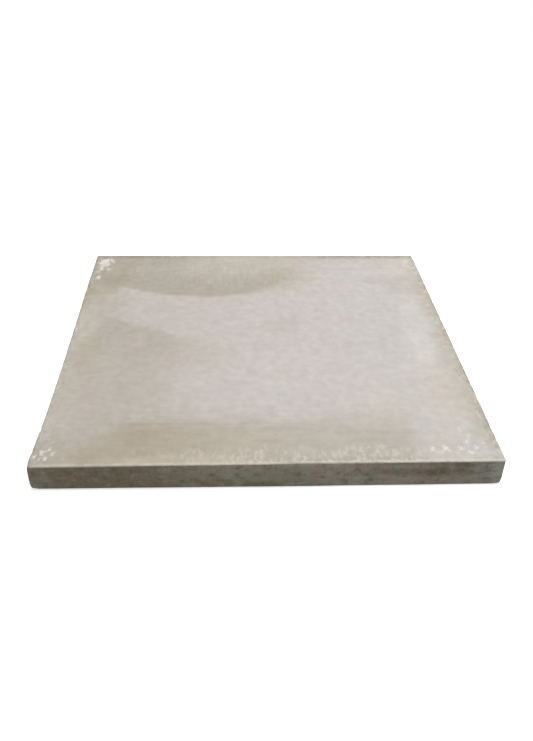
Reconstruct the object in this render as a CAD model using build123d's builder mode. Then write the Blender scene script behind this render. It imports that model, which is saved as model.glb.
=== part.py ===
"""Concrete paving slab: one square slab moulded in one piece, lying on its bed face.

The frame has +Z up, with the origin at the centre of the bed face. The photographed
front edge faces -Y. All sizes are in millimetres.
"""

import os

from build123d import *

# Outline and thickness
slab_length = 600.0  # along X
slab_width = 600.0  # along Y
slab_thickness = 40.0  # from the bed face to the walking face

# Rounded edges that the mould leaves
corner_radius = 4.0  # the four upright corners
walking_arris_radius = 1.5  # round the walking face
bed_arris_radius = 3.0  # round the bed face

# The slab: a rounded outline drawn up to its thickness, then both rims are rounded
with BuildPart() as paving_slab:
    with BuildSketch(Plane.XY):
        RectangleRounded(slab_length, slab_width, corner_radius)
    extrude(amount=slab_thickness)
    walking_rim = paving_slab.faces().sort_by(Axis.Z)[-1].edges()
    fillet(walking_rim, walking_arris_radius)
    bed_rim = paving_slab.faces().sort_by(Axis.Z)[0].edges()
    fillet(bed_rim, bed_arris_radius)
paving_slab.part.label = "paving_slab"

os.makedirs("parts", exist_ok=True)
export_step(paving_slab.part, "parts/paving_slab.step")
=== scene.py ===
"""Looks of the concrete paving slab: its cast relief, its stained finish, and a plain studio.

Lengths are in metres in the part's frame: +Z up, the front edge facing -Y, and the origin at the
centre of the bed face. Stains are placed in shares of the half side, so 1.0 is an edge of the slab.
"""

import math
import random
from typing import NamedTuple

import bpy
from mathutils import Euler, Matrix, Vector, noise


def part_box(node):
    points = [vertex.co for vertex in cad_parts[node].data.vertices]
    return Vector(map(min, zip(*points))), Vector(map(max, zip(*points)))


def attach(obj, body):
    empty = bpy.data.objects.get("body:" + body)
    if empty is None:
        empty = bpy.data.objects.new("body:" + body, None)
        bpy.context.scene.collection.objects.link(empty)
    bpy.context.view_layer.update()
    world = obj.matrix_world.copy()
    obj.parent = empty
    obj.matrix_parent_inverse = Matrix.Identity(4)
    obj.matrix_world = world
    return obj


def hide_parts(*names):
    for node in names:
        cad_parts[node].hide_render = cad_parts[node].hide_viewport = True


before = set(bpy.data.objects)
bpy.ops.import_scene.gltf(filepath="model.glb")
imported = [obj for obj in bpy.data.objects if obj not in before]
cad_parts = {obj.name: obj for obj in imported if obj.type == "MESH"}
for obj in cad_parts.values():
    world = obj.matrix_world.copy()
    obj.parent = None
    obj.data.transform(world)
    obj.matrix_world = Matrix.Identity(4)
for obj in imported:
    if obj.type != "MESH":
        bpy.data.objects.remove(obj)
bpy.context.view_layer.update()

MM = 0.001

# The slab's size, from the frame, and its rounded edges, as in the part's source
slab_low, slab_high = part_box("paving_slab")
HALF_X = (slab_high[0] - slab_low[0]) / 2
HALF_Y = (slab_high[1] - slab_low[1]) / 2
BED = slab_low[2]
TOP = slab_high[2]
CORNER_RADIUS = 4 * MM
WALKING_ARRIS = 1.5 * MM
BED_ARRIS = 3 * MM

# How finely the mesh is divided
GRID_STEPS = 244  # quads along a side of the walking face, a multiple of BED_SKIP
EDGE_CROWDING = 0.6  # 0 spaces the grid lines evenly, 1 crowds them hard against the edges
ARRIS_STEPS = 4
WALL_STEPS = 16
BED_SKIP = 4  # the bed face keeps one grid line in this many
BED_SHRINK = 0.97  # the coarse grid of the bed face, as a share of its rim


class Swell(NamedTuple):
    """Rolling relief: the width and depth of its waves, its octaves, and where its noise is taken."""

    width: float
    depth: float
    octaves: int
    start: float


# Relief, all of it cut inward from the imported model's faces
FACE_DROP = 0.45 * MM  # leaves room for the lime crumbs to stand on the walking face
FACE_SWELL = Swell(110 * MM, 0.25 * MM, 2, 0.0)
FACE_RIPPLE = Swell(11 * MM, 0.06 * MM, 2, 31.0)
WALL_SWELL = Swell(75 * MM, 0.5 * MM, 2, 57.0)
WALL_RIPPLE = Swell(9 * MM, 0.22 * MM, 3, 83.0)
OCTAVE_STEP = 2.0  # each octave is this many times finer
OCTAVE_FALL = 0.9  # higher makes the finer octaves weaker
CRUMB_HEIGHT = 0.4 * MM
CRUMB_STEEPNESS = 2.5  # how soon a crumb is at its full height, in from its edge
CRUMB_LEVEL = 0.9  # crumbs lie only where the way out points up by more than this
NICKS_PER_SIDE = 16
NICK_WIDTH = (2.5 * MM, 7 * MM)
NICK_DEPTH = (0.3 * MM, 1.0 * MM)
NICK_SEED = 7
NICK_REACH = 10 * MM  # no nick reaches further from the arris than this
FLECK_REACH = 130 * MM  # no lime crumb lies further from a corner than this

# The left side bows inward, most of all towards the front
LEFT_BOW = 4.2 * MM
BOW_LEAN = 2.2  # more than 1 moves the deepest place towards the front
BOW_FULLNESS = 0.65  # less than 1 makes the bow end more suddenly
BOW_FADE = 0.5  # how far in from the side the bow fades out, as a share of the half side

# The four corners, by the side of X and of Y that they are on
BACK_LEFT = (-1, 1)
BACK_RIGHT = (1, 1)
FRONT_LEFT = (-1, -1)
FRONT_RIGHT = (1, -1)

# How far each corner is worn back, at the walking face and at the bed face
CORNER_WEAR = {
    BACK_LEFT: (0.6 * MM, 1.5 * MM),
    BACK_RIGHT: (0.1 * MM, 1.0 * MM),
    FRONT_LEFT: (5.6 * MM, 3.4 * MM),
    FRONT_RIGHT: (0.1 * MM, 2.0 * MM),
}
WEAR_REACH = 14 * MM
WEAR_FADE_DOWN = 14  # higher keeps the wear of the walking face closer to it
WEAR_FADE_UP = 8  # the same for the bed face

# The foot of the front edge is worn too, most of all at its left end
FOOT_WEAR = 1.8 * MM
FOOT_REACH = 8 * MM  # up the wall and in under the slab


class Worn(NamedTuple):
    """A rubbed stretch of the front arris: middle and half length in shares of the half side, and depth."""

    middle: float
    half: float
    depth: float


WORN_STRETCHES = (
    Worn(0.13, 0.13, 1.7 * MM),
    Worn(0.58, 0.60, 1.0 * MM),
    Worn(0.70, 0.17, 0.5 * MM),
)
WORN_REACH = 10 * MM  # from the arris over the walking face and down the wall


def srgb(red, green, blue):
    """A colour as seen on screen, 0 to 255, in the linear light that shaders use."""
    linear = []
    for part in (red, green, blue):
        part = part / 255
        linear.append(part / 12.92 if part <= 0.04045 else ((part + 0.055) / 1.055) ** 2.4)
    return (*linear, 1.0)


# Colours of the walking face
LILAC_LEFT = srgb(203, 196, 190)
LILAC_MIDDLE = srgb(207, 200, 196)
LILAC_RIGHT = srgb(206, 202, 198)
LILAC_PALE = srgb(212, 205, 201)
CREAM = srgb(206, 199, 187)
BOWL_DARK = srgb(183, 175, 162)
BOWL_MID = srgb(193, 186, 173)
BACK_PALE = srgb(200, 193, 180)
OLIVE = srgb(178, 169, 150)
OLIVE_PALE = srgb(185, 178, 158)
LEFT_DARK = srgb(188, 180, 169)
LEFT_TAN = srgb(196, 188, 176)
LEFT_PALE = srgb(199, 193, 180)
LEFT_GREY = srgb(193, 186, 175)
FRONT_DARK = srgb(180, 169, 150)
FRONT_WARM = srgb(190, 182, 165)
FRONT_TAN = srgb(191, 184, 172)
FRONT_DAPPLE = srgb(213, 205, 192)
FRONT_LINE = srgb(176, 168, 154)
ARRIS_PALE = srgb(224, 218, 206)
EDGE_TAN = srgb(193, 185, 170)
RIGHT_TAN = srgb(199, 190, 175)
EDGE_DIRT = srgb(148, 142, 129)
LOW_TAN = srgb(210, 202, 191)
RIGHT_BRIGHT = srgb(219, 215, 211)
CORNER_LILAC = srgb(209, 203, 197)
CORNER_TAN = srgb(188, 181, 167)
CORNER_GREY = srgb(189, 181, 168)
CORNER_ROSE = srgb(213, 204, 196)
LIME = srgb(238, 234, 225)
ROSE_TINT = (1.012, 0.994, 1.0, 1.0)
GREEN_TINT = (0.994, 1.001, 0.998, 1.0)

# Colours of the walls and the bed face
WALL_BROWN = srgb(143, 130, 110)
WALL_GREY = srgb(163, 156, 141)
WALL_GREEN = srgb(180, 175, 157)
WALL_ROSE = srgb(178, 166, 152)
WALL_LILAC = srgb(174, 168, 162)
WALL_DARK = srgb(114, 102, 86)
WALL_PALE = srgb(198, 194, 184)
WALL_ROSE_TINT = (1.05, 0.98, 1.0, 1.0)
WALL_GREEN_TINT = (0.95, 1.02, 0.98, 1.0)
BED_GREY = srgb(172, 166, 154)
BED_DARK = srgb(140, 131, 117)


class Fade(NamedTuple):
    """A smooth change from low to high as a value goes from start to end."""

    start: float
    end: float
    low: float = 0.0
    high: float = 1.0


class Cloud(NamedTuple):
    """Noise in blobs of about this width. Detail adds finer octaves, which roughness makes stronger."""

    width: float
    detail: float = 3.0
    roughness: float = 0.55


class Sway(NamedTuple):
    """Noise about zero, in blobs of about this width, up to about half the reach each way."""

    width: float
    reach: float


NOISE_MIDDLE = 0.5  # noise runs from 0 to 1 about this

# The Mix node's sockets for colours, by number because its sockets share their names
MIX_SHARE = 0
MIX_FIRST = 6
MIX_SECOND = 7
MIX_RESULT = 2


class Nodes:
    """Adds shader nodes to one node tree, each joined to what feeds it."""

    def __init__(self, tree):
        self.tree = tree

    def add(self, kind, **settings):
        node = self.tree.nodes.new("ShaderNode" + kind)
        for name, value in settings.items():
            setattr(node, name, value)
        return node

    def feed(self, socket, value):
        """Joins an output to the socket, or sets the socket's own value."""
        if isinstance(value, bpy.types.NodeSocket):
            self.tree.links.new(value, socket)
        else:
            socket.default_value = value

    def math(self, operation, first, second=0.0):
        node = self.add("Math", operation=operation)
        self.feed(node.inputs[0], first)
        self.feed(node.inputs[1], second)
        return node.outputs[0]

    def plus(self, first, second):
        return self.math("ADD", first, second)

    def minus(self, first, second):
        return self.math("SUBTRACT", first, second)

    def larger(self, first, second):
        return self.math("MAXIMUM", first, second)

    def size(self, value):
        """A number without its sign."""
        return self.math("ABSOLUTE", value)

    def times(self, *values):
        product = values[0]
        for value in values[1:]:
            product = self.math("MULTIPLY", product, value)
        return product

    def vector(self, operation, first, second=(0.0, 0.0, 0.0)):
        node = self.add("VectorMath", operation=operation)
        self.feed(node.inputs[0], first)
        self.feed(node.inputs[1], second)
        return node.outputs["Value" if operation in ("LENGTH", "DOT_PRODUCT") else "Vector"]

    def axes(self, place):
        """The three coordinates of a place."""
        node = self.add("SeparateXYZ")
        self.feed(node.inputs[0], place)
        return list(node.outputs)

    def mix(self, share, first, second, blend="MIX"):
        node = self.add("Mix", data_type="RGBA", blend_type=blend)
        self.feed(node.inputs[MIX_SHARE], share)
        self.feed(node.inputs[MIX_FIRST], first)
        self.feed(node.inputs[MIX_SECOND], second)
        return node.outputs[MIX_RESULT]

    def shaded(self, colour, shade):
        """A colour multiplied by a shade or a tint."""
        return self.mix(1.0, colour, shade, "MULTIPLY")

    def ramp(self, value, fade):
        """Goes through the fade as the value changes."""
        node = self.add("MapRange", interpolation_type="SMOOTHSTEP")
        for socket, number in zip(node.inputs, (value, *fade)):
            self.feed(socket, number)
        return node.outputs[0]

    def noise(self, place, cloud, output="Fac"):
        node = self.add("TexNoise")
        self.feed(node.inputs["Vector"], place)
        node.inputs["Scale"].default_value = 1 / cloud.width
        node.inputs["Detail"].default_value = cloud.detail
        node.inputs["Roughness"].default_value = cloud.roughness
        return node.outputs[output]

    def wobble(self, place, sway):
        """A number that sways about zero."""
        return self.times(self.minus(self.noise(place, Cloud(sway.width)), NOISE_MIDDLE), sway.reach)

    def shift(self, place, sway):
        """The place pushed about by noise."""
        push = self.vector("SUBTRACT", self.noise(place, Cloud(sway.width), "Color"), (NOISE_MIDDLE,) * 3)
        return self.vector("ADD", place, self.vector("MULTIPLY", push, (sway.reach,) * 3))

    def cells(self, place, width, output="Distance"):
        """Scattered points about a width apart: the distance to the nearest, or its own colour."""
        node = self.add("TexVoronoi")
        self.feed(node.inputs["Vector"], place)
        node.inputs["Scale"].default_value = 1 / width
        return node.outputs[output]

    def stretched(self, place, scales):
        """The place with each axis scaled, so that noise drawn there runs in streaks."""
        return self.vector("MULTIPLY", place, scales)


class Patch(NamedTuple):
    """A soft turned ellipse, in shares of the half side."""

    colour: tuple
    strength: float
    centre: tuple
    radii: tuple
    turn: float = 0.0  # degrees, anticlockwise seen from above
    soft: float = 1.0  # how much of the radius the fading takes


# Stains of the walking face, laid one over the other in this order
FACE_STAINS = (
    Patch(LILAC_PALE, 0.40, (0.12, -0.32), (0.48, 0.22), soft=1.2),
    Patch(BOWL_DARK, 0.85, (-0.68, 0.93), (0.28, 0.11)),
    Patch(BOWL_DARK, 0.40, (-0.58, 0.75), (0.12, 0.09)),
    Patch(CREAM, 0.50, (-0.10, 0.95), (0.14, 0.07)),
    Patch(LILAC_MIDDLE, 0.60, (0.40, 0.88), (0.15, 0.11)),
    Patch(LILAC_PALE, 0.30, (0.58, 0.72), (0.26, 0.18), soft=1.2),
    Patch(BOWL_MID, 0.50, (0.68, 0.96), (0.22, 0.06)),
    Patch(OLIVE_PALE, 0.5, (0.10, 0.69), (0.06, 0.09)),
    Patch(BACK_PALE, 0.5, (0.22, 0.60), (0.16, 0.07), 38.0),
    Patch(OLIVE, 0.60, (-0.86, 0.70), (0.10, 0.18), -20.0),
    Patch(OLIVE, 0.80, (-0.90, 0.585), (0.13, 0.09), 34.0, 0.7),
    Patch(EDGE_TAN, 0.60, (-0.95, 0.42), (0.19, 0.20), soft=0.8),
    Patch(OLIVE, 0.40, (-0.99, 0.44), (0.10, 0.12)),
    Patch(LEFT_DARK, 0.35, (-0.82, 0.25), (0.09, 0.10)),
    Patch(LEFT_PALE, 0.80, (-0.925, 0.16), (0.055, 0.24), soft=0.9),
    Patch(OLIVE_PALE, 0.65, (-0.885, -0.11), (0.06, 0.17), -4.0, 0.9),
    Patch(EDGE_TAN, 0.50, (-0.95, -0.34), (0.14, 0.28), soft=0.9),
    Patch(RIGHT_BRIGHT, 0.40, (0.845, 0.08), (0.08, 0.42), -4.0),
    Patch(RIGHT_BRIGHT, 0.5, (0.835, -0.12), (0.055, 0.16), soft=0.9),
    Patch(CORNER_ROSE, 0.35, (0.76, -0.34), (0.12, 0.20)),
    Patch(LOW_TAN, 0.70, (0.86, -0.50), (0.09, 0.22), soft=0.9),
    Patch(LOW_TAN, 0.45, (0.62, -0.62), (0.24, 0.12)),
    Patch(CORNER_LILAC, 0.65, (0.79, -0.77), (0.11, 0.16), soft=1.2),
    Patch(LOW_TAN, 0.50, (0.75, -0.93), (0.12, 0.09)),
    Patch(CREAM, 0.45, (0.80, 0.90), (0.20, 0.14)),
    Patch(CORNER_ROSE, 0.80, (0.90, 0.85), (0.09, 0.16), soft=0.9),
    Patch(LEFT_TAN, 0.45, (0.86, 0.57), (0.12, 0.12), 6.0),
    Patch(CORNER_GREY, 0.50, (-0.77, -0.77), (0.17, 0.14)),
    Patch(LEFT_PALE, 0.50, (-0.94, -0.65), (0.08, 0.18)),
    Patch(CORNER_TAN, 0.80, (-0.96, -0.94), (0.15, 0.15), soft=0.9),
    Patch(BOWL_MID, 0.35, (0.11, 0.145), (0.09, 0.07)),
    Patch(BOWL_MID, 0.20, (0.065, -0.10), (0.06, 0.05)),
    Patch(BOWL_MID, 0.20, (-0.065, -0.31), (0.05, 0.05)),
    Patch(BOWL_MID, 0.20, (0.09, -0.31), (0.04, 0.04)),
    Patch(BOWL_MID, 0.35, (0.70, 0.655), (0.06, 0.06)),
)

# Blotches of the front wall, with a painted highlight at its right end and painted shade under its arris at
# the right; heights in shares of the thickness from 0 to 1
WALL_STAINS_AND_LIGHT = (
    Patch(WALL_BROWN, 0.75, (-0.72, 0.60), (0.36, 0.80)),
    Patch(WALL_GREEN, 0.60, (0.05, 0.75), (0.42, 0.50)),
    Patch(WALL_ROSE, 0.60, (0.40, 0.85), (0.34, 0.45)),
    Patch(WALL_LILAC, 0.40, (-0.96, 0.22), (0.05, 0.40), soft=0.9),
    Patch(WALL_PALE, 0.40, (-0.975, 0.13), (0.02, 0.12), soft=0.9),
    Patch(WALL_DARK, 0.40, (0.60, 0.60), (0.17, 0.15)),
    Patch(WALL_DARK, 0.50, (0.70, 0.48), (0.05, 0.36), -8.0, 0.9),
    Patch(WALL_GREEN, 0.70, (0.48, 0.22), (0.32, 0.20), soft=0.9),
    Patch(WALL_LILAC, 0.65, (0.935, 0.60), (0.07, 0.45)),
    # Painted highlight: a pale strip at the rounded right end, where it catches the light
    Patch(WALL_PALE, 0.70, (0.975, 0.40), (0.03, 0.60), soft=0.7),
    Patch(WALL_DARK, 0.55, (0.82, 0.82), (0.035, 0.24), soft=0.9),
    # Painted shade: the top of the wall darker just under the arris at the right
    Patch(WALL_DARK, 0.30, (0.72, 0.96), (0.30, 0.14)),
    Patch(WALL_GREEN, 0.50, (0.86, 0.24), (0.06, 0.20), soft=0.9),
    Patch(WALL_ROSE, 0.60, (0.28, 0.35), (0.07, 0.26)),
    Patch(WALL_PALE, 0.70, (0.35, 0.08), (0.016, 0.10), soft=0.8),
)


class Fleck(NamedTuple):
    """A lime crumb near a corner, in millimetres in from the corner's two sides."""

    in_x: float
    in_y: float
    half_x: float
    half_y: float
    strength: float = 0.8


FLECKS = {
    BACK_LEFT: (
        Fleck(19, 28, 10, 14, 1.4),
        Fleck(22, 38, 9.5, 14, 1.4),
        Fleck(31, 24, 5.5, 9, 1.0),
        Fleck(16, 59, 5.5, 8, 0.8),
        Fleck(30, 61, 5, 8, 0.5),
        Fleck(15.5, 93, 4.5, 10, 0.8),
        Fleck(11.5, 71, 3.5, 6, 0.45),
    ),
    FRONT_LEFT: (
        Fleck(14, 25, 3.8, 7, 0.65),
        Fleck(20.5, 14.5, 3.8, 5, 0.95),
        Fleck(28, 24, 4.4, 5, 0.55),
        Fleck(22, 32.5, 3.6, 5, 0.5),
        Fleck(6, 18.5, 3, 4.5, 0.6),
        Fleck(13, 14.5, 3, 4, 0.6),
        Fleck(10, 9, 2.6, 3.4, 0.4),
        Fleck(24, 46, 3, 3, 0.3),
        Fleck(31, 40, 2.4, 3, 0.3),
    ),
    FRONT_RIGHT: (
        Fleck(89, 27, 4.2, 6.5, 0.65),
        Fleck(72, 27, 6.5, 7.5, 0.65),
        Fleck(79, 18, 4.2, 5, 0.4),
        Fleck(52, 26, 6, 6, 0.5),
        Fleck(42, 38, 5, 5.5, 0.55),
        Fleck(32, 26, 5.2, 6, 0.6),
        Fleck(58, 17, 3.4, 4.4, 0.4),
        Fleck(40, 17, 6.5, 5, 0.55),
        Fleck(45, 63, 4.6, 7, 0.42),
        Fleck(36, 52, 4.2, 6, 0.42),
        Fleck(20, 28, 2.6, 2.8, 0.3),
    ),
    BACK_RIGHT: (
        Fleck(18, 30, 3.6, 6, 0.5),
        Fleck(24, 44, 3, 6, 0.35),
        Fleck(10, 57, 2.8, 5, 0.4),
        Fleck(9, 81, 2.4, 5, 0.5),
        Fleck(25, 65, 3, 5, 0.3),
        Fleck(32, 22, 3, 5, 0.3),
    ),
}
FLECK_LOBES = 5  # overlapping lobes round the core of one ragged crumb
FLECK_CORE = 0.9  # the core's share of the crumb's size
LOBE_SIZE = (0.25, 0.5)  # the smallest and largest lobe, in the same shares
LOBE_OFF = 0.8  # how far a lobe may lie from the crumb's middle
FLECK_SEED = 11


def grid_lines(half):
    """Coordinates from -half to half, closer together near both ends."""
    lines = []
    for step in range(GRID_STEPS + 1):
        share = 2 * step / GRID_STEPS - 1
        bent = math.sin(math.pi * share / 2)
        lines.append(half * ((1 - EDGE_CROWDING) * share + EDGE_CROWDING * bent))
    return lines


def rounded(x, y):
    """A point of the walking face's square, moved so that its corners are round, and the way out."""
    radius = CORNER_RADIUS - WALKING_ARRIS
    centre_x = HALF_X - CORNER_RADIUS
    centre_y = HALF_Y - CORNER_RADIUS
    u = max(0.0, abs(x) - centre_x) / radius
    v = max(0.0, abs(y) - centre_y) / radius
    across = u * math.sqrt(1 - v * v / 2)
    along = v * math.sqrt(1 - u * u / 2)
    out = Vector((math.copysign(across, x), math.copysign(along, y), 0.0))
    new_x = math.copysign(min(abs(x), centre_x) + radius * across, x)
    new_y = math.copysign(min(abs(y), centre_y) + radius * along, y)
    return Vector((new_x, new_y, TOP)), out


def rim_order():
    """Grid places round the walking face's rim, anticlockwise seen from above."""
    last = GRID_STEPS
    places = [(step, 0) for step in range(last)]
    places += [(last, step) for step in range(last)]
    places += [(last - step, last) for step in range(last)]
    places += [(0, last - step) for step in range(last)]
    return places


def rim_profile():
    """Steps down from the walking face's rim to the bed face's: inset, height and outward tilt."""
    profile = []
    for step in range(1, ARRIS_STEPS + 1):
        angle = math.pi / 2 * step / ARRIS_STEPS
        height = TOP - WALKING_ARRIS * (1 - math.cos(angle))
        profile.append((WALKING_ARRIS * (1 - math.sin(angle)), height, angle))
    wall_top = TOP - WALKING_ARRIS
    wall_bottom = BED + BED_ARRIS
    for step in range(1, WALL_STEPS + 1):
        profile.append((0.0, wall_top + (wall_bottom - wall_top) * step / WALL_STEPS, math.pi / 2))
    for step in range(1, ARRIS_STEPS + 1):
        angle = math.pi / 2 * step / ARRIS_STEPS
        height = BED + BED_ARRIS * (1 - math.sin(angle))
        profile.append((BED_ARRIS * (1 - math.cos(angle)), height, math.pi / 2 + angle))
    return profile


class SlabMesh:
    """Points, the way out of the slab at each, and faces."""

    def __init__(self):
        self.points = []
        self.ways = []
        self.faces = []
        self.fleck = []  # how far inside a lime crumb each point is

    def point(self, place, way):
        self.points.append(place)
        self.ways.append(way)
        return len(self.points) - 1

    def walking_face(self):
        """The walking face as a grid; returns its point numbers by column and row, and the grid lines."""
        up = Vector((0, 0, 1))
        xs = grid_lines(HALF_X - WALKING_ARRIS)
        ys = grid_lines(HALF_Y - WALKING_ARRIS)
        grid = []
        for x in xs:
            grid.append([self.point(rounded(x, y)[0], up) for y in ys])
        for i in range(GRID_STEPS):
            for j in range(GRID_STEPS):
                self.faces.append((grid[i][j], grid[i + 1][j], grid[i + 1][j + 1], grid[i][j + 1]))
        return grid, xs, ys

    def side(self, grid, xs, ys):
        """The rim, walls and bed arris as rings below the walking face; returns the last ring."""
        order = rim_order()
        above = [grid[i][j] for i, j in order]
        ways_out = [rounded(xs[i], ys[j])[1].normalized() for i, j in order]
        start = [self.points[number].copy() for number in above]
        for inset, height, tilt in rim_profile():
            ring = []
            for place, out in zip(start, ways_out):
                new = place + out * (WALKING_ARRIS - inset)
                new.z = height
                ring.append(self.point(new, out * math.sin(tilt) + Vector((0, 0, math.cos(tilt)))))
            count = len(ring)
            for k in range(count):
                after = (k + 1) % count
                self.faces.append((above[k], ring[k], ring[after], above[after]))
            above = ring
        return above

    def bed_face(self, ring, grid):
        """The bed face as a coarse grid, joined to the last ring by a strip of wider faces."""
        down = Vector((0, 0, -1))
        order = rim_order()
        coarse = {}
        for i in range(0, GRID_STEPS + 1, BED_SKIP):
            for j in range(0, GRID_STEPS + 1, BED_SKIP):
                place = self.points[grid[i][j]] * BED_SHRINK
                place.z = BED
                coarse[i, j] = self.point(place, down)
        for i in range(0, GRID_STEPS, BED_SKIP):
            for j in range(0, GRID_STEPS, BED_SKIP):
                far_i = i + BED_SKIP
                far_j = j + BED_SKIP
                self.faces.append((coarse[i, j], coarse[i, far_j], coarse[far_i, far_j], coarse[far_i, j]))
        count = len(ring)
        for k in range(0, count, BED_SKIP):
            outer = [ring[(k + step) % count] for step in range(BED_SKIP + 1)]
            inner_start = coarse[order[k]]
            inner_end = coarse[order[(k + BED_SKIP) % count]]
            self.faces.append((*reversed(outer), inner_start, inner_end))


def swell(place, waves):
    """Rolling relief at a place, from 0 to its depth."""
    at = place / waves.width + Vector((waves.start,) * 3)
    level = 0.5 + 0.5 * noise.fractal(at, OCTAVE_FALL, OCTAVE_STEP, waves.octaves)
    return waves.depth * min(1.0, max(0.0, level))


def fleck_lobes():
    """The cores and lobes of all lime crumbs: middle and half sizes, in metres, and strength."""
    chance = random.Random(FLECK_SEED)
    lobes = []
    for (side_x, side_y), flecks in FLECKS.items():
        for fleck in flecks:
            shapes = [(FLECK_CORE, 0.0, 0.0)]
            for _ in range(FLECK_LOBES):
                off = (chance.uniform(-LOBE_OFF, LOBE_OFF), chance.uniform(-LOBE_OFF, LOBE_OFF))
                shapes.append((chance.uniform(*LOBE_SIZE), *off))
            for share, off_x, off_y in shapes:
                middle_x = side_x * (HALF_X - (fleck.in_x + off_x * fleck.half_x) * MM)
                middle_y = side_y * (HALF_Y - (fleck.in_y + off_y * fleck.half_y) * MM)
                half_x = share * fleck.half_x * MM
                half_y = share * fleck.half_y * MM
                lobes.append((middle_x, middle_y, half_x, half_y, fleck.strength))
    return lobes


def fleck_at(place, lobes):
    """The crumb's strength in the middle of its lobe, 0 at the lobe's edge and beyond."""
    best = 0.0
    for middle_x, middle_y, half_x, half_y, strength in lobes:
        away = math.hypot((place.x - middle_x) / half_x, (place.y - middle_y) / half_y)
        best = max(best, strength * (1 - away))
    return best


def nicks():
    """Small bites out of the walking face's arris: middle, width and depth of each."""
    chance = random.Random(NICK_SEED)
    found = []
    for _ in range(NICKS_PER_SIDE):
        for side in range(4):
            along = chance.uniform(-1, 1)
            width = chance.uniform(*NICK_WIDTH)
            depth = chance.uniform(*NICK_DEPTH)
            place = (
                Vector((along * HALF_X, -HALF_Y, TOP)),
                Vector((HALF_X, along * HALF_Y, TOP)),
                Vector((along * HALF_X, HALF_Y, TOP)),
                Vector((-HALF_X, along * HALF_Y, TOP)),
            )[side]
            found.append((place, width, depth))
    return found


def nick_depth(place, found):
    """How deep the nicks cut at a place on or near the arris."""
    deepest = 0.0
    for middle, width, depth in found:
        near = (place - middle).length / width
        if near < 1:
            deepest = max(deepest, depth * (1 - near * near))
    return deepest


def corner_wear(place):
    """How far a worn corner is cut back at a place near it."""
    away = math.hypot(HALF_X - abs(place.x), HALF_Y - abs(place.y))
    if away > WEAR_REACH:
        return 0.0
    at_top, at_bed = CORNER_WEAR[int(math.copysign(1, place.x)), int(math.copysign(1, place.y))]
    height = (place.z - BED) / (TOP - BED)
    worn = at_bed * (1 - height) ** WEAR_FADE_UP + at_top * height ** WEAR_FADE_DOWN
    return worn * (1 - away / WEAR_REACH) ** 2


def foot_wear(place):
    """How far the foot of the front edge is worn back at a place near it."""
    up = 1 - (place.z - BED) / FOOT_REACH
    under = 1 - (place.y + HALF_Y) / FOOT_REACH
    leftward = min(1.0, -place.x / HALF_X)
    if min(up, under, leftward) <= 0:
        return 0.0
    return FOOT_WEAR * leftward * up * up * under * under


def arris_wear(place):
    """How far the rubbed stretches of the front arris are worn back at a place near it."""
    away = math.hypot(place.y + HALF_Y, TOP - place.z)
    if away > WORN_REACH:
        return 0.0
    worn = 0.0
    for stretch in WORN_STRETCHES:
        along = (place.x / HALF_X - stretch.middle) / stretch.half
        worn += stretch.depth * max(0.0, 1 - along * along)
    return worn * (1 - away / WORN_REACH) ** 2


def bow(place):
    """How far the bowed left side moves a place to the right."""
    across = (HALF_X + place.x) / (HALF_X * BOW_FADE)
    if across >= 1:
        return 0.0
    towards_front = min(1.0, max(0.0, (HALF_Y - place.y) / (2 * HALF_Y)))
    return LEFT_BOW * math.sin(math.pi * towards_front ** BOW_LEAN) ** BOW_FULLNESS * (1 - across) ** 2


def carve(mesh):
    """Moves every point inward by the relief of cast concrete, and notes where lime crumbs lie."""
    lobes = fleck_lobes()
    found = nicks()
    for number, (place, way) in enumerate(zip(mesh.points, mesh.ways)):
        facing_up = max(0.0, way.z)
        upright = math.sqrt(max(0.0, 1 - way.z * way.z))
        face = FACE_DROP + swell(place, FACE_SWELL) + swell(place, FACE_RIPPLE)
        wall = swell(place, WALL_SWELL) + swell(place, WALL_RIPPLE)
        edge_x = HALF_X - abs(place.x)
        edge_y = HALF_Y - abs(place.y)
        crumb = 0.0
        if way.z > CRUMB_LEVEL and edge_x < FLECK_REACH and edge_y < FLECK_REACH:
            crumb = fleck_at(place, lobes)
        mesh.fleck.append(crumb)
        depth = wall * upright + face * facing_up - CRUMB_HEIGHT * min(1.0, CRUMB_STEEPNESS * crumb)
        if min(edge_x, edge_y) < NICK_REACH and TOP - place.z < NICK_REACH:
            depth += nick_depth(place, found)
        carved = place - way * (depth + corner_wear(place) + foot_wear(place))
        mesh.points[number] = carved + Vector((bow(place), arris_wear(place), 0.0))


def slab_object():
    """The slab as one closed mesh with its cast relief."""
    mesh = SlabMesh()
    grid, xs, ys = mesh.walking_face()
    last_ring = mesh.side(grid, xs, ys)
    mesh.bed_face(last_ring, grid)
    carve(mesh)
    data = bpy.data.meshes.new("concrete_slab")
    data.from_pydata([tuple(point) for point in mesh.points], [], mesh.faces)
    data.attributes.new("fleck", "FLOAT", "POINT").data.foreach_set("value", mesh.fleck)
    data.polygons.foreach_set("use_smooth", [True] * len(data.polygons))
    data.update()
    slab = bpy.data.objects.new("concrete_slab", data)
    bpy.context.scene.collection.objects.link(slab)
    return slab


def ellipse(n, plan, patch):
    """1 inside a stain's ellipse, fading to 0 over its soft edge."""
    off = n.vector("SUBTRACT", plan, (*patch.centre, 0.0))
    if patch.turn:
        node = n.add("VectorRotate", rotation_type="Z_AXIS")
        n.feed(node.inputs["Vector"], off)
        node.inputs["Angle"].default_value = math.radians(-patch.turn)
        off = node.outputs["Vector"]
    radii = (1 / patch.radii[0], 1 / patch.radii[1], 0.0)
    away = n.vector("LENGTH", n.vector("MULTIPLY", off, radii))
    return n.ramp(away, Fade(1 + patch.soft / 2, 1 - patch.soft / 2))


def patched(n, colour, plan, patches):
    """A colour with a list of patches laid over it: stains, and on the front wall painted light and shade
    too.
    """
    for patch in patches:
        colour = n.mix(n.times(ellipse(n, plan, patch), patch.strength), colour, patch.colour)
    return colour


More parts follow.
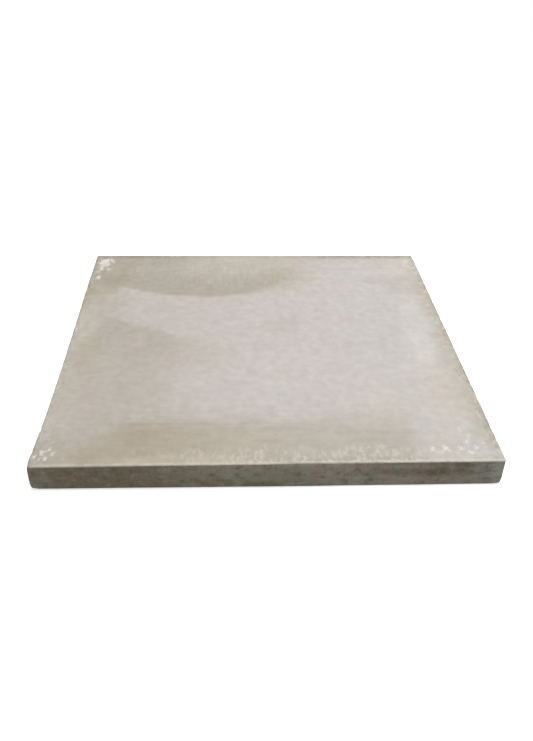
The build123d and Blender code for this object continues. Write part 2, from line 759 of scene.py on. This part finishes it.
# The bowl-shaped stain that reaches in from the back edge, as a circle that leans to the left
BOWL_CENTRE = (-0.27, 1.346)
BOWL_RADIUS = 0.90
BOWL_LEAN = 0.06
BOWL_SHARE = 0.95
BOWL_SOFTNESS = Fade(-0.15, 0.35, 0.035, 0.16)  # its edge is sharp at the left and soft at the right
BOWL_EDGE = Fade(-0.5, 0.9)  # in shares of the softness
BOWL_STREAKS = Sway(5 * MM, 0.50)
BOWL_STREAK_SCALES = (1.0, 0.12, 1.0)  # streaks that run from the back to the front
BOWL_TILT = Fade(-0.25, -0.65, 0.0, 0.10)  # its tones lie further back at the left
BOWL_DARKENING = Fade(0.76, 0.56)
BOWL_PALING = Fade(0.72, 0.88)
BOWL_PALE_SHARE = 0.8
BOWL_RIM_OUTSIDE = Fade(-0.10, -0.04)
BOWL_RIM_INSIDE = Fade(0.02, -0.03)
BOWL_RIM_MIDDLE = -0.30
BOWL_RIM_SPAN = Fade(0.55, 0.25)
BOWL_RIM_SHARE = 0.6


def bowl_stain(n, colour, plan, place):
    """The tan stain that hangs from the back edge, darkest along its lower edge, which has a cream rim."""
    x, y, _ = n.axes(plan)
    off_x = n.minus(x, BOWL_CENTRE[0])
    off_y = n.minus(n.minus(y, BOWL_CENTRE[1]), n.times(off_x, BOWL_LEAN))
    away = n.math("SQRT", n.plus(n.times(off_x, off_x), n.times(off_y, off_y)))
    depth = n.minus(BOWL_RADIUS, away)
    inside = n.ramp(n.math("DIVIDE", depth, n.ramp(x, BOWL_SOFTNESS)), BOWL_EDGE)
    streaks = n.wobble(n.stretched(place, BOWL_STREAK_SCALES), BOWL_STREAKS)
    height = n.minus(n.plus(y, streaks), n.ramp(x, BOWL_TILT))
    tone = n.mix(n.ramp(height, BOWL_DARKENING), BOWL_MID, BOWL_DARK)
    tone = n.mix(n.times(n.ramp(height, BOWL_PALING), BOWL_PALE_SHARE), tone, BACK_PALE)
    rim = n.times(n.ramp(depth, BOWL_RIM_OUTSIDE), n.ramp(depth, BOWL_RIM_INSIDE))
    rim = n.times(rim, n.ramp(n.size(n.minus(x, BOWL_RIM_MIDDLE)), BOWL_RIM_SPAN))
    colour = n.mix(n.times(rim, BOWL_RIM_SHARE), colour, CREAM)
    return n.mix(n.times(inside, BOWL_SHARE), colour, tone)


# The tan stain left of the middle: its upper edge is a slanting line
SLANT_NORMAL = (0.447, 0.894, 0.0)
SLANT_EDGE = Fade(-0.125, -0.205)  # along the normal
SLANT_STAINS = (
    Patch(LEFT_TAN, 0.55, (-0.32, -0.14), (0.22, 0.19), -10.0, 0.4),
    Patch(LEFT_DARK, 0.85, (-0.68, 0.02), (0.24, 0.32), soft=0.8),
    Patch(LEFT_GREY, 0.80, (-0.68, -0.42), (0.26, 0.32), soft=0.9),
)


def slant_stain(n, colour, plan):
    """The broad tan stain left of the middle, with a clear slanting upper edge and a soft foot."""
    under = n.ramp(n.vector("DOT_PRODUCT", plan, SLANT_NORMAL), SLANT_EDGE)
    for patch in SLANT_STAINS:
        colour = n.mix(n.times(under, ellipse(n, plan, patch), patch.strength), colour, patch.colour)
    return colour


# The tan band along the front edge, with faint trowel lines
BAND_STREAKS = Sway(5 * MM, 0.13)
BAND_STREAK_SCALES = (0.08, 1.0, 1.0)  # streaks that run from the left to the right
BAND_WIDENING = Fade(0.0, -0.6, 0.0, 0.05)  # towards the left
BAND_BACK = Fade(-0.57, -0.84)
BAND_SLANT = 0.967  # its left end slants across the corner
BAND_LEFT = Fade(-0.05, 0.12)
BAND_RIGHT = Fade(0.72, 0.58)
BAND_SHARE = 0.9
BAND_WARMING = Fade(-0.60, -0.05)
BAND_TANNING = Fade(-0.10, 0.20)
BAND_BACK_TAN = Fade(-0.82, -0.68)
BAND_BACK_TAN_SHARE = 0.8
TROWEL_LINES = Cloud(9 * MM, 2.0, 0.5)
TROWEL_SCALES = (0.06, 1.0, 1.0)
TROWEL_SHADE = Fade(0.25, 0.75, 0.968, 1.032)
TROWEL_BACK = Fade(-0.48, -0.62)
TROWEL_FRONT = Fade(-0.90, -0.84)
TROWEL_RIGHT = Fade(0.80, 0.65)


def front_band(n, colour, plan, place):
    """The tan band along the front edge, streaked along it and lined by the trowel."""
    x, y, _ = n.axes(plan)
    streaks = n.wobble(n.stretched(place, BAND_STREAK_SCALES), BAND_STREAKS)
    height = n.minus(n.plus(y, streaks), n.ramp(x, BAND_WIDENING))
    left = n.ramp(n.minus(x, n.times(y, BAND_SLANT)), BAND_LEFT)
    band = n.times(n.ramp(height, BAND_BACK), left, n.ramp(x, BAND_RIGHT))
    tone = n.mix(n.ramp(x, BAND_WARMING), FRONT_DARK, FRONT_WARM)
    tone = n.mix(n.ramp(x, BAND_TANNING), tone, FRONT_TAN)
    tone = n.mix(n.times(n.ramp(height, BAND_BACK_TAN), BAND_BACK_TAN_SHARE), tone, FRONT_TAN)
    colour = n.mix(n.times(band, BAND_SHARE), colour, tone)
    lines = n.noise(n.stretched(place, TROWEL_SCALES), TROWEL_LINES)
    trowelled = n.times(n.ramp(y, TROWEL_BACK), n.ramp(y, TROWEL_FRONT), n.ramp(x, TROWEL_RIGHT))
    return n.mix(trowelled, colour, n.shaded(colour, n.ramp(lines, TROWEL_SHADE)))


# The paler strip along the front arris: dabs that run from back to front, and a plain strip at the left
DABS = Cloud(5.4 * MM, 2.0, 0.5)
DAB_SWAY = Sway(8 * MM, 3 * MM)
DAB_SCALES = (1.0, 0.45, 1.0)
DAB_SHAPE = Fade(0.42, 0.64)
DAB_EDGE = Sway(30 * MM, 0.08)
DAB_GAIN = -0.12  # the stronger dabs reach further back
DAB_SHORTENING = Fade(0.45, 0.15, 0.0, 0.035)  # towards the left the dabs reach less far back
DAB_BACK = Fade(-0.855, -0.935)
DAB_LEFT = Fade(-0.85, -0.10)
DAB_RIGHT = Fade(0.75, 0.5)
DAB_SHARE = 0.8
STRIP_BACK = Fade(-0.91, -0.98)
STRIP_LEFT = Fade(-0.80, -0.55)
STRIP_RIGHT = Fade(0.0, -0.3)
STRIP_SHARE = 0.4


def front_dabs(n, colour, plan, place):
    """The pale dappled strip along the front arris."""
    x, y, _ = n.axes(plan)
    dabs = n.noise(n.stretched(n.shift(place, DAB_SWAY), DAB_SCALES), DABS)
    reach = n.plus(n.plus(y, n.wobble(place, DAB_EDGE)), n.times(n.minus(dabs, NOISE_MIDDLE), DAB_GAIN))
    reach = n.plus(reach, n.ramp(x, DAB_SHORTENING))
    dabbed = n.times(n.ramp(reach, DAB_BACK), n.ramp(dabs, DAB_SHAPE))
    dabbed = n.times(dabbed, n.ramp(x, DAB_LEFT), n.ramp(x, DAB_RIGHT), DAB_SHARE)
    strip = n.times(n.ramp(y, STRIP_BACK), n.ramp(x, STRIP_LEFT), n.ramp(x, STRIP_RIGHT), STRIP_SHARE)
    return n.mix(n.larger(dabbed, strip), colour, FRONT_DAPPLE)


# Dirt and wear along the edges, by distance from each edge
EDGE_PATCHES = Cloud(14 * MM, 4.0)
EDGE_PATCHY = Fade(0.3, 0.65, 0.45, 1.0)
EDGE_RAGGED = Sway(5 * MM, 7 * MM)
LEFT_DIRT = Fade(8 * MM, 2 * MM)
LEFT_DIRT_SHARE = 0.7
RIGHT_CRUST = Sway(6 * MM, 26 * MM)
RIGHT_DIRT = Fade(14 * MM, 0.0)
RIGHT_DIRT_SHARE = 0.40
RIGHT_LINE = Fade(6 * MM, 1.5 * MM)
RIGHT_LINE_SHARE = 0.6
BACK_DIRT = Fade(22 * MM, 6 * MM)
BACK_DIRT_MIDDLE = -30 * MM
BACK_DIRT_ENDS = Fade(0.25 * HALF_X, 0.60 * HALF_X, 0.3, 0.9)  # more towards both ends
DIRT_FRONT = Fade(6 * MM, 40 * MM)  # none at the front edge
DIRT_SHARE = 0.75
GRIT = Cloud(7 * MM, 3.0, 0.6)
GRIT_SCALES = (1.0, 0.6, 1.0)
GRIT_REACH = Fade(24 * MM, 6 * MM)
GRIT_PALE = Fade(0.54, 0.66)
GRIT_PALE_SHARE = 0.45
GRIT_DARK = Fade(0.46, 0.34)
GRIT_DARK_SHARE = 0.35


def edge_dirt(n, colour, place):
    """Dirt along the back, left and right edges, and pale and dark grit along the left and right ones."""
    x, y, _ = n.axes(place)
    from_left = n.plus(x, HALF_X)
    from_right = n.minus(HALF_X, x)
    ragged = n.wobble(place, EDGE_RAGGED)
    left = n.times(n.ramp(n.plus(from_left, ragged), LEFT_DIRT), LEFT_DIRT_SHARE)
    crusty = n.plus(from_right, n.wobble(place, RIGHT_CRUST))
    right = n.times(n.ramp(crusty, RIGHT_DIRT), RIGHT_DIRT_SHARE)
    line = n.times(n.ramp(n.plus(from_right, ragged), RIGHT_LINE), RIGHT_LINE_SHARE)
    sides = n.larger(left, n.larger(right, line))
    ends = n.ramp(n.size(n.minus(x, BACK_DIRT_MIDDLE)), BACK_DIRT_ENDS)
    back = n.times(n.ramp(n.plus(n.minus(HALF_Y, y), ragged), BACK_DIRT), ends)
    patchy = n.ramp(n.noise(place, EDGE_PATCHES), EDGE_PATCHY)
    dirt = n.times(n.larger(sides, back), patchy, n.ramp(n.plus(y, HALF_Y), DIRT_FRONT))
    colour = n.mix(n.times(dirt, DIRT_SHARE), colour, EDGE_DIRT)
    grit = n.noise(n.stretched(place, GRIT_SCALES), GRIT)
    near_side = n.ramp(n.math("MINIMUM", from_left, from_right), GRIT_REACH)
    colour = n.mix(n.times(near_side, n.ramp(grit, GRIT_PALE), GRIT_PALE_SHARE), colour, ARRIS_PALE)
    return n.mix(n.times(near_side, n.ramp(grit, GRIT_DARK), GRIT_DARK_SHARE), colour, EDGE_DIRT)


# The front arris: a broken dark line just behind it, and its pale rubbed rim
ALONG_FRONT = Fade(-HALF_X, HALF_X)
DARK_LINE = Fade(14 * MM, 9 * MM)
DARK_LINE_BREAKS = Cloud(5 * MM, 2.0)
DARK_LINE_BROKEN = Fade(0.40, 0.60)
DARK_LINE_LEFT = Fade(0.2, 0.6, 0.0, 0.6)
DARK_LINE_RIGHT = Fade(0.98, 0.88)
RUBBED_RIM = Fade(6.5 * MM, 3 * MM)
RUBBED_PALING = Fade(0.0, 1.0, 0.5, 1.0)  # paler towards the right
RUBBED_SHARE = 0.95


def front_arris(n, colour, place):
    """The front edge's broken dark line and pale rubbed rim, both clearer towards the right."""
    x, y, _ = n.axes(place)
    from_front = n.plus(y, HALF_Y)
    rightward = n.ramp(x, ALONG_FRONT)
    line = n.times(n.ramp(from_front, DARK_LINE), n.ramp(n.noise(place, DARK_LINE_BREAKS), DARK_LINE_BROKEN))
    line = n.times(line, n.ramp(rightward, DARK_LINE_LEFT), n.ramp(rightward, DARK_LINE_RIGHT))
    colour = n.mix(line, colour, FRONT_LINE)
    patchy = n.ramp(n.noise(place, EDGE_PATCHES), EDGE_PATCHY)
    rim = n.ramp(n.plus(from_front, n.wobble(place, EDGE_RAGGED)), RUBBED_RIM)
    rubbed = n.times(rim, patchy, n.ramp(rightward, RUBBED_PALING))
    return n.mix(n.times(rubbed, RUBBED_SHARE), colour, ARRIS_PALE)


# The walking face as a whole, in shares of the half side
FACE_SWAY = Sway(0.16, 0.10)
FACE_FINE_SWAY = Sway(0.035, 0.02)
BOWL_SWAY = Sway(0.30, 0.06)
MIDDLE_START = Fade(-0.60, 0.20)
RIGHT_START = Fade(0.30, 0.65)
LEFT_STRIP = Fade(-0.94, -0.99)
LEFT_STRIP_SHARE = 0.4
RIGHT_STRIP = Fade(0.88, 0.98)
RIGHT_STRIP_BACK = Fade(0.85, 0.6)
RIGHT_STRIP_FRONT = Fade(-1.0, -0.85)
RIGHT_STRIP_SHARE = 0.85


def walking_face_colour(n, place):
    """Lilac grey, washed with tan and olive stains, with dirt and rubbed places at the edges."""
    shares = n.vector("MULTIPLY", place, (1 / HALF_X, 1 / HALF_Y, 0.0))
    plan = n.shift(n.shift(shares, FACE_SWAY), FACE_FINE_SWAY)
    x, y, _ = n.axes(plan)
    colour = n.mix(n.ramp(x, MIDDLE_START), LILAC_LEFT, LILAC_MIDDLE)
    colour = n.mix(n.ramp(x, RIGHT_START), colour, LILAC_RIGHT)
    colour = bowl_stain(n, colour, n.shift(shares, BOWL_SWAY), place)
    colour = slant_stain(n, colour, plan)
    colour = front_band(n, colour, plan, place)
    colour = front_dabs(n, colour, plan, place)
    colour = n.mix(n.times(n.ramp(x, LEFT_STRIP), LEFT_STRIP_SHARE), colour, EDGE_TAN)
    colour = patched(n, colour, plan, FACE_STAINS)
    along_right = n.times(n.ramp(y, RIGHT_STRIP_BACK), n.ramp(y, RIGHT_STRIP_FRONT))
    right_strip = n.times(n.ramp(x, RIGHT_STRIP), along_right, RIGHT_STRIP_SHARE)
    colour = n.mix(right_strip, colour, RIGHT_TAN)
    return front_arris(n, edge_dirt(n, colour, place), place)


# The walls
WALL_MOTTLE = Cloud(24 * MM, 4.0)
WALL_MOTTLED = Fade(0.30, 0.70)
WALL_SWAY = Sway(0.08, 0.12)
WALL_FINE_SWAY = Sway(0.02, 0.04)
FRONT_WALL = Fade(-0.97 * HALF_Y, -0.98 * HALF_Y)
WALL_HUES = Cloud(22 * MM, 3.0)
WALL_HUE = Fade(0.38, 0.62)
BLOTCHES = Cloud(9 * MM, 4.0, 0.55)
BLOTCH_SCALES = (0.6, 0.6, 1.0)
BLOTCH_DARK = Fade(0.50, 0.72)
BLOTCH_DARK_SHARE = 0.62
BLOTCH_PALE = Fade(0.50, 0.28)
BLOTCH_PALE_SHARE = 0.34
RUNS = Cloud(3.6 * MM, 2.0)
RUN_SCALES = (1.0, 1.0, 0.5)  # runs down the wall
RUN_PALE = Fade(0.54, 0.74)
RUN_PALE_SHARE = 0.16
RUN_DARK = Fade(0.46, 0.26)
RUN_DARK_SHARE = 0.32
FOOT_LIGHT = Fade(0.2, 0.0)  # painted light: a pale wash at the foot, in shares of the thickness
FOOT_LIGHT_EDGE = Sway(12 * MM, 0.2)
FOOT_LIGHT_SHARE = 0.2


def wall_colour(n, place):
    """Brown-grey sides, darker than the walking face, mottled and streaked down, with darker and paler
    blotches at the front, a painted highlight at its right end and painted shade under its arris, and
    painted light at the foot.
    """
    x, y, z = n.axes(place)
    height = n.math("DIVIDE", n.minus(z, BED), TOP - BED)
    colour = n.mix(n.ramp(n.noise(place, WALL_MOTTLE), WALL_MOTTLED), WALL_BROWN, WALL_GREY)
    upright = n.add("CombineXYZ")
    n.feed(upright.inputs[0], n.math("DIVIDE", x, HALF_X))
    n.feed(upright.inputs[1], height)
    plan = n.shift(n.shift(upright.outputs[0], WALL_SWAY), WALL_FINE_SWAY)
    colour = n.mix(n.ramp(y, FRONT_WALL), colour, patched(n, colour, plan, WALL_STAINS_AND_LIGHT))
    hue = n.mix(n.ramp(n.noise(place, WALL_HUES), WALL_HUE), WALL_ROSE_TINT, WALL_GREEN_TINT)
    colour = n.shaded(colour, hue)
    blotch = n.noise(n.stretched(place, BLOTCH_SCALES), BLOTCHES)
    colour = n.mix(n.times(n.ramp(blotch, BLOTCH_DARK), BLOTCH_DARK_SHARE), colour, WALL_DARK)
    colour = n.mix(n.times(n.ramp(blotch, BLOTCH_PALE), BLOTCH_PALE_SHARE), colour, WALL_PALE)
    run = n.noise(n.stretched(place, RUN_SCALES), RUNS)
    colour = n.mix(n.times(n.ramp(run, RUN_PALE), RUN_PALE_SHARE), colour, WALL_PALE)
    colour = n.mix(n.times(n.ramp(run, RUN_DARK), RUN_DARK_SHARE), colour, WALL_DARK)
    # Painted light: the foot of the walls washed paler
    foot = n.ramp(n.plus(height, n.wobble(place, FOOT_LIGHT_EDGE)), FOOT_LIGHT)
    return n.mix(n.times(foot, FOOT_LIGHT_SHARE), colour, WALL_PALE)


# The bed face
BED_CLOUDS = Cloud(70 * MM, 4.0, 0.6)
BED_CLOUDED = Fade(0.42, 0.62)
DAMP = Cloud(22 * MM, 5.0, 0.65)
DAMP_SHARE = Fade(0.50, 0.72, 0.0, 0.7)
PIT_SPACING = 13 * MM
PIT_SWAY = Sway(6 * MM, 4 * MM)
PIT_EDGE = Fade(0.20, 0.06)
PIT_SHADE_SHARE = 0.5


def bed_face_colour(n, place):
    """Rough grey underside with darker damp patches, and pits painted darker as shade."""
    colour = n.mix(n.ramp(n.noise(place, BED_CLOUDS), BED_CLOUDED), BED_GREY, WALL_GREY)
    colour = n.mix(n.ramp(n.noise(place, DAMP), DAMP_SHARE), colour, BED_DARK)
    pits = n.ramp(n.cells(n.shift(place, PIT_SWAY), PIT_SPACING), PIT_EDGE)
    # Painted shade: the pits darkened
    return n.mix(n.times(pits, PIT_SHADE_SHARE), colour, BED_DARK)


class Scatter(NamedTuple):
    """Small marks about a spacing apart. A random number of each gives its radius, which may be none."""

    spacing: float
    draw: int  # which of the three random numbers of a mark
    radius: Fade  # from the random number to the radius, in shares of the spacing
    edge: Fade
    sway: Sway | None = None  # makes the marks ragged


SPECKS = Scatter(17 * MM, 1, Fade(0.45, 1.0, 0.0, 0.16), Fade(0.05, -0.08), Sway(4 * MM, 3 * MM))
SPECK_SHADE = Fade(0.3, 0.7, 0.93, 1.03)  # from a mark's third random number
PORES = Scatter(11 * MM, 0, Fade(0.80, 1.0, 0.0, 0.10), Fade(0.02, -0.03))
PORE_SHADE_SHARE = 0.35
SALT = Scatter(8 * MM, 0, Fade(0.5, 1.0, 0.0, 0.28), Fade(0.10, -0.10), Sway(4 * MM, 3 * MM))
SALT_CORNER = Fade(95 * MM, 30 * MM)  # by distance from the corner's sides
SALT_WALL = Fade(0.6, 0.0)  # none on the walls
SALT_SHARE = 0.35


def scattered(n, place, scatter):
    """1 on the scattered marks, and the three random numbers of the nearest."""
    draws = n.axes(n.cells(place, scatter.spacing, "Color"))
    radius = n.ramp(draws[scatter.draw], scatter.radius)
    drawn_at = n.shift(place, scatter.sway) if scatter.sway else place
    mark = n.ramp(n.minus(n.cells(drawn_at, scatter.spacing), radius), scatter.edge)
    return mark, draws


# Light and dark over all the faces
CLOUDS = Cloud(36 * MM, 3.0, 0.6)
CLOUD_SHADE = Fade(0.25, 0.75, 0.965, 1.035)
MOTTLE = Cloud(13 * MM, 2.0, 0.5)
MOTTLE_SHADE = Fade(0.25, 0.75, 0.95, 1.05)
GRAIN = Cloud(2.2 * MM, 3.0, 0.65)
GRAIN_SHADE = Fade(0.25, 0.75, 0.97, 1.03)
HUES = Cloud(45 * MM, 2.0)
HUE = Fade(0.38, 0.62)


def weathered(n, colour, place, mottle, grain):
    """A colour with clouds, mottles and grains of light and dark, a drift of hue, and stone specks."""
    clouds = n.ramp(n.noise(place, CLOUDS), CLOUD_SHADE)
    colour = n.shaded(colour, n.times(clouds, mottle, n.ramp(grain, GRAIN_SHADE)))
    colour = n.shaded(colour, n.mix(n.ramp(n.noise(place, HUES), HUE), ROSE_TINT, GREEN_TINT))
    speck, draws = scattered(n, place, SPECKS)
    return n.mix(speck, colour, n.shaded(colour, n.ramp(draws[2], SPECK_SHADE)))


# Lime: the crumbs, and a sprinkle of salt near the corners
LIME_CRUMBLE = Sway(3 * MM, 0.9)
LIME_CRUMBLED = Fade(0.0, 0.3)  # only within a crumb
LIME_EDGE = Fade(0.0, 0.55)
LIME_PATCHY = Fade(0.96, 1.04, 0.68, 1.0)  # thinner where the mottle is dark


def lime_share(n, place, mottle, on_wall):
    """How much lime covers the concrete, on the crumbs of the mesh and in the sprinkle of salt."""
    fleck = n.add("Attribute", attribute_name="fleck").outputs["Fac"]
    crumble = n.times(n.wobble(place, LIME_CRUMBLE), n.ramp(fleck, LIME_CRUMBLED))
    lime = n.times(n.ramp(n.plus(fleck, crumble), LIME_EDGE), n.ramp(mottle, LIME_PATCHY))
    x, y, _ = n.axes(place)
    from_sides = n.larger(n.minus(HALF_X, n.size(x)), n.minus(HALF_Y, n.size(y)))
    salt, _ = scattered(n, place, SALT)
    salt = n.times(salt, n.ramp(from_sides, SALT_CORNER), n.ramp(on_wall, SALT_WALL), SALT_SHARE)
    return n.larger(lime, salt)


# Where the colours of the faces meet, and how the surface takes the light
FACE_BORDER = Sway(6 * MM, 1.6 * MM)
WALL_START = Fade(TOP - 1.3 * MM, TOP - 2.6 * MM)
WALL_LOWERED = Fade(-0.35 * HALF_X, -0.85 * HALF_X, 0.0, 0.7 * MM)  # the walking face's colour reaches lower down the wall at the left
BED_START = Fade(BED + 2.2 * MM, BED + 0.6 * MM)
ROUGHNESS = Fade(0.2, 0.8, 0.78, 0.94)
SPECULAR = 0.35
COARSE = Cloud(7 * MM, 4.0, 0.6)
COARSE_RELIEF = 0.8
GRAIN_RELIEF = 0.5
PORE_RELIEF = 0.9
BUMP_STRENGTH = 0.6
BUMP_HEIGHT = 0.35 * MM


def relief(n, place, grain, pore):
    """The bump of the coarse and fine grain, with the pores sunk into it."""
    height = n.plus(n.times(n.noise(place, COARSE), COARSE_RELIEF), n.times(grain, GRAIN_RELIEF))
    bump = n.add("Bump")
    bump.inputs["Strength"].default_value = BUMP_STRENGTH
    bump.inputs["Distance"].default_value = BUMP_HEIGHT
    n.feed(bump.inputs["Height"], n.minus(height, n.times(pore, PORE_RELIEF)))
    return bump.outputs["Normal"]


def concrete():
    """Weathered cast concrete: stained walking face, darker brown walls with painted light and shade in
    places, rough grey bed face, and pores and pits painted darker as shade.
    """
    material = bpy.data.materials.new("weathered_concrete")
    material.use_nodes = True
    n = Nodes(material.node_tree)
    shader = material.node_tree.nodes["Principled BSDF"]
    place = n.add("TexCoord").outputs["Object"]
    x, _, z = n.axes(place)
    height = n.plus(z, n.wobble(place, FACE_BORDER))
    on_wall = n.ramp(n.plus(height, n.ramp(x, WALL_LOWERED)), WALL_START)
    colour = n.mix(on_wall, walking_face_colour(n, place), wall_colour(n, place))
    colour = n.mix(n.ramp(height, BED_START), colour, bed_face_colour(n, place))
    mottle = n.ramp(n.noise(place, MOTTLE), MOTTLE_SHADE)
    grain = n.noise(place, GRAIN)
    pore, _ = scattered(n, place, PORES)
    colour = weathered(n, colour, place, mottle, grain)
    # Painted shade: the pores darkened as if shadowed, as they are only a bump
    colour = n.mix(n.times(pore, PORE_SHADE_SHARE), colour, WALL_DARK)
    colour = n.mix(lime_share(n, place, mottle, on_wall), colour, LIME)
    n.feed(shader.inputs["Base Color"], colour)
    n.feed(shader.inputs["Roughness"], n.ramp(grain, ROUGHNESS))
    n.feed(shader.inputs["Normal"], relief(n, place, grain, pore))
    shader.inputs["Specular IOR Level"].default_value = SPECULAR
    return material


# The studio
FLOOR_SIZE = 2.6
FLOOR_GAP = 0.2 * MM  # the floor lies this far under the slab
FLOOR_BOUNCE = 0.36  # how much light the floor gives back to the slab
FLOOR_LIFT = 0.58  # brings the floor that the camera sees up to white
WORLD_LIGHT = 0.36
WORLD_SEEN = Fade(0.0, 1.0, WORLD_LIGHT, 1.0)  # the room itself shows as white
WHITE = (1.0, 1.0, 1.0, 1.0)
KEY_PLACE = (0.40, 0.15, 2.0)
KEY_SIZE = 2.0
KEY_WATTS = 32.0

# The camera, fitted to the slab's visible edges in a picture 741 pixels high
IMAGE_HEIGHT = 741
FOCAL_PIXELS = 743.7
SENSOR = 36.0  # millimetres, the upright side
CAMERA_PLACE = (-0.0425, -0.9985, 0.6524)
LOOK_DOWN = math.radians(34.049)
LOOK_RIGHT = math.radians(2.989)
ROLL = math.radians(1.285)


def seen_rays(n):
    """1 for rays that show the surroundings themselves, 0 for light falling on the slab."""
    path = n.add("LightPath")
    seen = n.larger(path.outputs["Is Camera Ray"], path.outputs["Is Glossy Ray"])
    return n.larger(seen, path.outputs["Is Transmission Ray"])


def floor():
    """A plain white floor that keeps the slab's shadow."""
    half = FLOOR_SIZE / 2
    corners = [(-half, -half), (half, -half), (half, half), (-half, half)]
    data = bpy.data.meshes.new("floor")
    data.from_pydata([(x, y, BED - FLOOR_GAP) for x, y in corners], [], [(0, 1, 2, 3)])
    plane = bpy.data.objects.new("floor", data)
    bpy.context.scene.collection.objects.link(plane)
    material = bpy.data.materials.new("white_floor")
    material.use_nodes = True
    n = Nodes(material.node_tree)
    material.node_tree.nodes.remove(material.node_tree.nodes["Principled BSDF"])
    seen = seen_rays(n)
    matte = n.add("BsdfDiffuse")
    bounce = (FLOOR_BOUNCE, FLOOR_BOUNCE, FLOOR_BOUNCE, 1.0)
    n.feed(matte.inputs["Color"], n.mix(seen, bounce, WHITE))
    lift = n.add("Emission")
    n.feed(lift.inputs["Strength"], n.times(seen, FLOOR_LIFT))
    total = n.add("AddShader")
    n.feed(total.inputs[0], matte.outputs[0])
    n.feed(total.inputs[1], lift.outputs[0])
    n.feed(material.node_tree.nodes["Material Output"].inputs["Surface"], total.outputs[0])
    data.materials.append(material)


def lights():
    """A soft overhead lamp, a little to the right, in an even white room."""
    world = bpy.data.worlds.new("studio")
    bpy.context.scene.world = world
    world.use_nodes = True
    n = Nodes(world.node_tree)
    background = world.node_tree.nodes["Background"]
    n.feed(background.inputs["Strength"], n.ramp(seen_rays(n), WORLD_SEEN))
    background.inputs["Color"].default_value = WHITE
    lamp = bpy.data.lights.new("key", "AREA")
    lamp.shape = "SQUARE"
    lamp.size = KEY_SIZE
    lamp.energy = KEY_WATTS
    key = bpy.data.objects.new("key", lamp)
    key.location = KEY_PLACE
    key.rotation_euler = (Vector((0, 0, TOP)) - key.location).to_track_quat("-Z", "Y").to_euler()
    bpy.context.scene.collection.objects.link(key)


def camera():
    """The photograph's viewpoint."""
    data = bpy.data.cameras.new("camera")
    data.sensor_fit = "VERTICAL"
    data.sensor_height = SENSOR
    data.lens = SENSOR * FOCAL_PIXELS / IMAGE_HEIGHT
    view = bpy.data.objects.new("camera", data)
    view.location = CAMERA_PLACE
    aim = Euler((math.pi / 2 - LOOK_DOWN, 0.0, -LOOK_RIGHT)).to_matrix()
    view.rotation_euler = (aim @ Matrix.Rotation(ROLL, 3, "Z")).to_euler()
    bpy.context.scene.collection.objects.link(view)
    bpy.context.scene.camera = view


slab = slab_object()
slab.data.materials.append(concrete())
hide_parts("paving_slab")
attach(slab, "root")

floor()
lights()
camera()
bpy.context.scene.view_settings.view_transform = "Standard"
